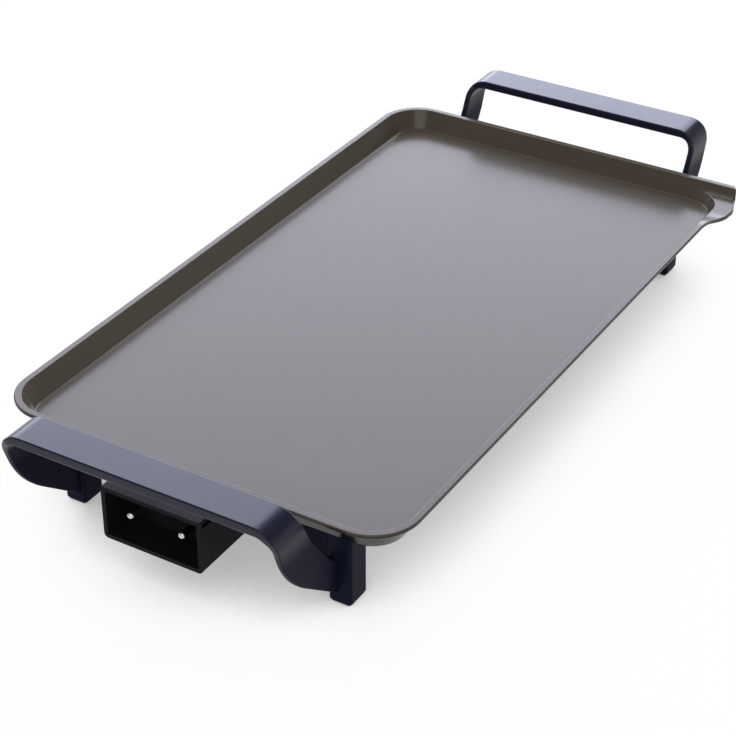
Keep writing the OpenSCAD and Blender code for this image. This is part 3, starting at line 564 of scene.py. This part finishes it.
def frame_arch():
    """Bar and legs as one bent sheet. A station joins a point of the sheet's inner edge to one of its outer
    edge; on the legs these run along the two swept edges, from the foot post up to the bend. Round each
    station lies a section with rounded corners. The sheet stands upright on the legs, turns about the bend's
    centre and lies level in the bar. The inside of a bend has its own centre, further out, as the bar is
    thicker than the legs: along the angle t from the outer centre it lies at
    d cos t + sqrt(r^2 - (d sin t)^2), d between the centres."""
    leg_count, bar_count = 56, 9
    bend_z, bar_z = bar_top - bend_r, bar_top - bar_t
    inner = np.array([[[post_face_y - notch_in, notch_z + notch_rise], [post_face_y, notch_z], elbow,
                       [bar_in_y, bar_z], [bar_in_y, bar_top]]])
    outer = np.array([[[post_face_y - toe_in, toe_z], [post_face_y, toe_z], knee,
                       [bar_out_y, bar_z], [bar_out_y, bar_top]]])
    inner = round_corners(inner, [notch_r, elbow_r, bar_side_r], 12)[0]
    outer = round_corners(outer, [0, knee_r, bar_side_r], 12)[0]
    turn = np.linspace(0, math.pi / 2, 13)[1:]
    inside_r, shift = bend_r - bar_t, bar_t - leg_t
    to_arc = shift * np.cos(turn) + np.sqrt(inside_r ** 2 - (shift * np.sin(turn)) ** 2)
    to_inside = np.where(turn < math.atan2(inside_r, shift), to_arc, inside_r / np.sin(turn))
    bend_t, bend_mid = bend_r - to_inside, (bend_r + to_inside) / 2

    def whole_edge(edge, bar_y):
        """Y and Z of one edge, from the foot post to the middle of the bar. In the bend it keeps to its side
        line, read off at each height."""
        leg = edge[edge[:, 1] < bend_z]
        leg = np.concatenate([leg, [[np.interp(bend_z, edge[:, 1], edge[:, 0]), bend_z]]])
        leg = evenly(leg, leg_count)
        bend = bend_z + bend_mid * np.sin(turn)
        sweep = np.interp(bend, edge[:, 1], edge[:, 0])
        return (np.concatenate([leg[:, 0], sweep, np.full(bar_count, bar_y)]),
                np.concatenate([leg[:, 1], bend, np.full(bar_count, bar_top - bar_t / 2)]))

    y_in, z_in = whole_edge(inner, bar_in_y)
    y_out, z_out = whole_edge(outer, bar_out_y)
    bar_x = np.linspace(leg_out_x - bend_r, 0, bar_count + 1)[1:]
    bend_x = leg_out_x - bend_r + bend_mid * np.cos(turn)
    x = np.concatenate([np.full(leg_count, leg_out_x - leg_t / 2), bend_x, bar_x])
    tilt = np.concatenate([np.zeros(leg_count), turn, np.full(bar_count, math.pi / 2)])
    thick = np.concatenate([np.full(leg_count, leg_t), bend_t, np.full(bar_count, bar_t)])
    mirror = slice(-2, None, -1)
    one_side = (y_in, y_out, z_in, z_out, thick)
    y_in, y_out, z_in, z_out, thick = (np.concatenate([v, v[mirror]]) for v in one_side)
    x, tilt = np.concatenate([x, -x[mirror]]), np.concatenate([tilt, math.pi - tilt[mirror]])

    width, half = np.hypot(y_out - y_in, z_out - z_in), thick / 2
    none = np.zeros_like(width)
    corners = np.stack([np.stack([none, -half], -1), np.stack([width, -half], -1),
                        np.stack([width, half], -1), np.stack([none, half], -1)], 1)
    corners = np.concatenate([corners[:, -1:], corners, corners[:, :1]], 1)
    section = round_corners(corners, [frame_edge_r] * 4, 4)[:, 1:-1]
    share, lift = section[..., 0] / width[:, None], section[..., 1]
    y = y_in[:, None] + (y_out - y_in)[:, None] * share
    z = z_in[:, None] + (z_out - z_in)[:, None] * share + lift * np.sin(tilt)[:, None]
    return skin(np.stack([x[:, None] + lift * np.cos(tilt)[:, None], y, z], -1))


def rolled_edge(radius, low, steps):
    """Levels of (inset, height) of a quarter-round lower edge: r (1 - sin t) and low + r (1 - cos t)."""
    t = np.linspace(0, math.pi / 2, steps)
    return np.stack([radius * (1 - np.sin(t)), low + radius * (1 - np.cos(t))], -1)


def block(x, y, width, depth, corner, levels):
    """An upright block: a rounded rectangle carried up through levels of (inset, height)."""
    corner_steps = 7
    angle = np.concatenate([np.linspace(k, k + 1, corner_steps) for k in range(4)]) * math.pi / 2
    side = np.stack([np.repeat([1, -1, -1, 1], corner_steps) * (width / 2 - corner),
                     np.repeat([1, 1, -1, -1], corner_steps) * (depth / 2 - corner)], -1)
    way = np.stack([np.cos(angle), np.sin(angle)], -1)
    inset, height = levels.T
    flat = side[None] + way[None] * (corner - inset[:, None, None]) + [x, y]
    return skin(np.concatenate([flat, np.broadcast_to(height[:, None, None], flat.shape[:2] + (1,))], -1))


post_levels = np.concatenate([rolled_edge(post_edge_r, post_low, 6), [[0.0, base_z]]])
# Painted shade: a thin sheet of the dark moulding fills the corner gap between each post, its leg and the
# plate, where there is only shade under the plate.
shade_web_w, shade_web_t, shade_web_z, shade_web_root = 28.0, 3.0, 24.0, 1.0
post_in_x = post_x - post_w / 2
shade_web_y = (post_face_y - post_r - shade_web_t, post_face_y - post_r)
shade_web = np.array([[post_in_x + shade_web_root, shade_web_z], [post_in_x, shade_web_z],
                   [post_in_x - shade_web_w, base_z], [post_in_x + shade_web_root, base_z]])
shade_web = np.stack([np.insert(shade_web, 1, y, axis=1) for y in shade_web_y])
rear_shells = [frame_arch()]
rear_shells += [block(x, post_y, post_w, post_d, post_r, post_levels) for x in (-post_x, post_x)]
rear_shells += [skin(shade_web * [side, 1, 1]) for side in (-1, 1)]
half_turn = np.array([-1.0, -1.0, 1.0])
front_shells = [(points * half_turn, quads, caps) for points, quads, caps in rear_shells]
for end, shells in (("front", front_shells), ("rear", rear_shells)):
    piece = solid(end + "_frame", shells, moulded_blue)
    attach(piece, "root")
    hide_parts(end + "_handle")

# Frame screws and washers: zinc-plated steel, two of each at either end.
# They are sunk in the foot posts and driven up into the plate's bosses.
for end in ("front", "rear"):
    dress(end + "_handle_screws", zinc)
    dress(end + "_handle_washers", zinc)

# Foot pads: black rubber, one under each post, with a rolled lower edge.
# Each is moulded with a plug that is pushed into the screw hole of its post.
rubber = finish("pad_rubber", dark=(0.018, 0.018, 0.018), light=(0.030, 0.030, 0.030), rough=(0.7, 0.85),
                grain_scale=900.0, grain_depth=2e-5, sheen_scale=60.0, streaks=0.1)
pad_t, pad_inset = 2.0, 0.4
plug_r, plug_top, plug_edge, plug_root = 4.7, 14.0, 0.4, 0.5
pad_w, pad_d = post_w - 2 * pad_inset, post_d - 2 * pad_inset
pad_levels = rolled_edge(pad_t, 0.0, 7)
plug_profile = [(plug_r, pad_t - plug_root), (plug_r, plug_top - plug_edge), (plug_r - plug_edge, plug_top)]
for end, y in (("front", -post_y), ("rear", post_y)):
    for side, x in (("left", -post_x), ("right", post_x)):
        shells = [block(x, y, pad_w, pad_d, post_r, pad_levels), turned(plug_profile, x, y)]
        piece = solid(f"{end}_{side}_rubber_pad", shells, rubber)
        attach(piece, "root")
        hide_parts(f"{end}_{side}_foot_pad")

# Studio: a wide floor of white paper, which darkens close to the object by a painted shadow: its glow is
# dimmed by ambient occlusion.
# A large soft lamp stands behind, weaker ones in front and above, and the sky is brightest at the horizon.
scene = bpy.context.scene
scene.view_settings.view_transform = "Standard"
floor_half = 12.0
floor_mesh = bpy.data.meshes.new("studio_floor")
floor_corners = floor_half * np.array([(-1, -1, 0), (1, -1, 0), (1, 1, 0), (-1, 1, 0)], float)
floor_mesh.from_pydata(floor_corners, [], [(0, 1, 2, 3)])
studio_floor = bpy.data.objects.new("studio_floor", floor_mesh)
scene.collection.objects.link(studio_floor)


def seen_directly(tree):
    """1 for rays that come from the camera, or by way of a mirror or glass, and 0 for light that spreads."""
    path = tree_node(tree, "LightPath")
    first = tree_node(tree, "Math", operation="MAXIMUM")
    second = tree_node(tree, "Math", operation="MAXIMUM")
    wire(tree,
         (path.outputs["Is Camera Ray"], first.inputs[0]),
         (path.outputs["Is Glossy Ray"], first.inputs[1]),
         (first.outputs[0], second.inputs[0]),
         (path.outputs["Is Transmission Ray"], second.inputs[1]))
    return second.outputs[0]


paper_lit, paper_seen, paper_glow = (0.3, 0.3, 0.3, 1), (0.98, 0.98, 0.98, 1), 0.95
paper = bpy.data.materials.new("studio_paper")
paper.use_nodes = True
tree = paper.node_tree
tree.nodes.clear()
seen = seen_directly(tree)
matt = tree_node(tree, "BsdfDiffuse")
tone = tree_node(tree, "Mix", {"A": paper_lit, "B": paper_seen}, data_type="RGBA")
# Painted shadow: the floor's glow is dimmed where ambient occlusion finds the object close by.
nook = tree_node(tree, "AmbientOcclusion", {"Distance": 0.25})
shade = tree_node(tree, "MapRange", {"From Min": 0.1, "From Max": 0.6, "To Min": 0.42, "To Max": 1.0},
                  interpolation_type="SMOOTHSTEP")
glow = tree_node(tree, "Emission", {"Color": (1, 1, 1, 1)})
lift = tree_node(tree, "Math", {1: paper_glow}, operation="MULTIPLY")
lit = tree_node(tree, "MixShader")
clear = tree_node(tree, "BsdfTransparent")
side_of = tree_node(tree, "NewGeometry")
both = tree_node(tree, "MixShader")
out = tree_node(tree, "OutputMaterial")
wire(tree,
     (seen, tone.inputs["Factor"]),
     (tone.outputs["Result"], matt.inputs["Color"]),
     (seen, lift.inputs[0]),
     (nook.outputs["AO"], shade.inputs["Value"]),
     (shade.outputs[0], glow.inputs["Strength"]),
     (lift.outputs[0], lit.inputs[0]),
     (matt.outputs[0], lit.inputs[1]),
     (glow.outputs[0], lit.inputs[2]),
     (side_of.outputs["Backfacing"], both.inputs[0]),
     (lit.outputs[0], both.inputs[1]),
     (clear.outputs[0], both.inputs[2]),
     (both.outputs[0], out.inputs["Surface"]))
floor_mesh.materials.append(paper)

sky = bpy.data.worlds.new("studio_sky")
sky.use_nodes = True
scene.world = sky
tree = sky.node_tree
background = tree.nodes["Background"]
background.inputs["Color"].default_value = (1, 1, 1, 1)
way = tree_node(tree, "TexCoord")
height = tree_node(tree, "SeparateXYZ")
sky_level = tree_node(tree, "MapRange", {"From Min": 0.0, "From Max": 0.4, "To Min": 0.9, "To Max": 0.25})
wire(tree,
     (way.outputs["Generated"], height.inputs[0]),
     (height.outputs["Z"], sky_level.inputs["Value"]),
     (sky_level.outputs["Result"], background.inputs["Strength"]))


def soft_lamp(name, place, aim, size, watts, colour):
    """A rectangular soft lamp at a place, turned to a point, that the camera itself doesn't see."""
    lamp = bpy.data.lights.new(name, "AREA")
    lamp.shape = "RECTANGLE"
    lamp.size, lamp.size_y = size
    lamp.energy = watts
    lamp.color = colour
    lamp_object = bpy.data.objects.new(name, lamp)
    lamp_object.location = place
    lamp_object.rotation_euler = (Vector(aim) - Vector(place)).to_track_quat("-Z", "Y").to_euler()
    lamp_object.visible_camera = False
    scene.collection.objects.link(lamp_object)


cool_white, warm_white = (0.78, 0.82, 1.0), (1.0, 0.99, 0.97)
soft_lamp("back_panel", place=(-1.0, 1.75, 1.2), aim=(0, 0.05, 0.05), size=(2.6, 2.1), watts=85.0,
          colour=cool_white)
soft_lamp("front_fill", place=(0.9, -2.2, 1.6), aim=(0, 0, 0.05), size=(2.0, 1.2), watts=16.0,
          colour=warm_white)
soft_lamp("top_panel", place=(-0.3, 0.2, 2.4), aim=(0, 0, 0), size=(1.6, 1.6), watts=10.0, colour=warm_white)

# Camera: at the photograph's viewing angle, 33 degrees above the table and 31 degrees round to the right.
# Its place, tilt and lens come from fitting the plate's lip as a level rectangle.
camera_place, camera_tilt, camera_turn = (0.5568, -0.9612, 0.7191), 57.199, 31.111
camera_data = bpy.data.cameras.new("studio_camera")
camera_data.sensor_width = 36.0
camera_data.lens = 98.04
camera_data.clip_start = 0.05
camera_data.clip_end = 60.0
camera = bpy.data.objects.new("studio_camera", camera_data)
camera.location = camera_place
camera.rotation_euler = (math.radians(camera_tilt), 0, math.radians(camera_turn))
scene.collection.objects.link(camera)
scene.camera = camera
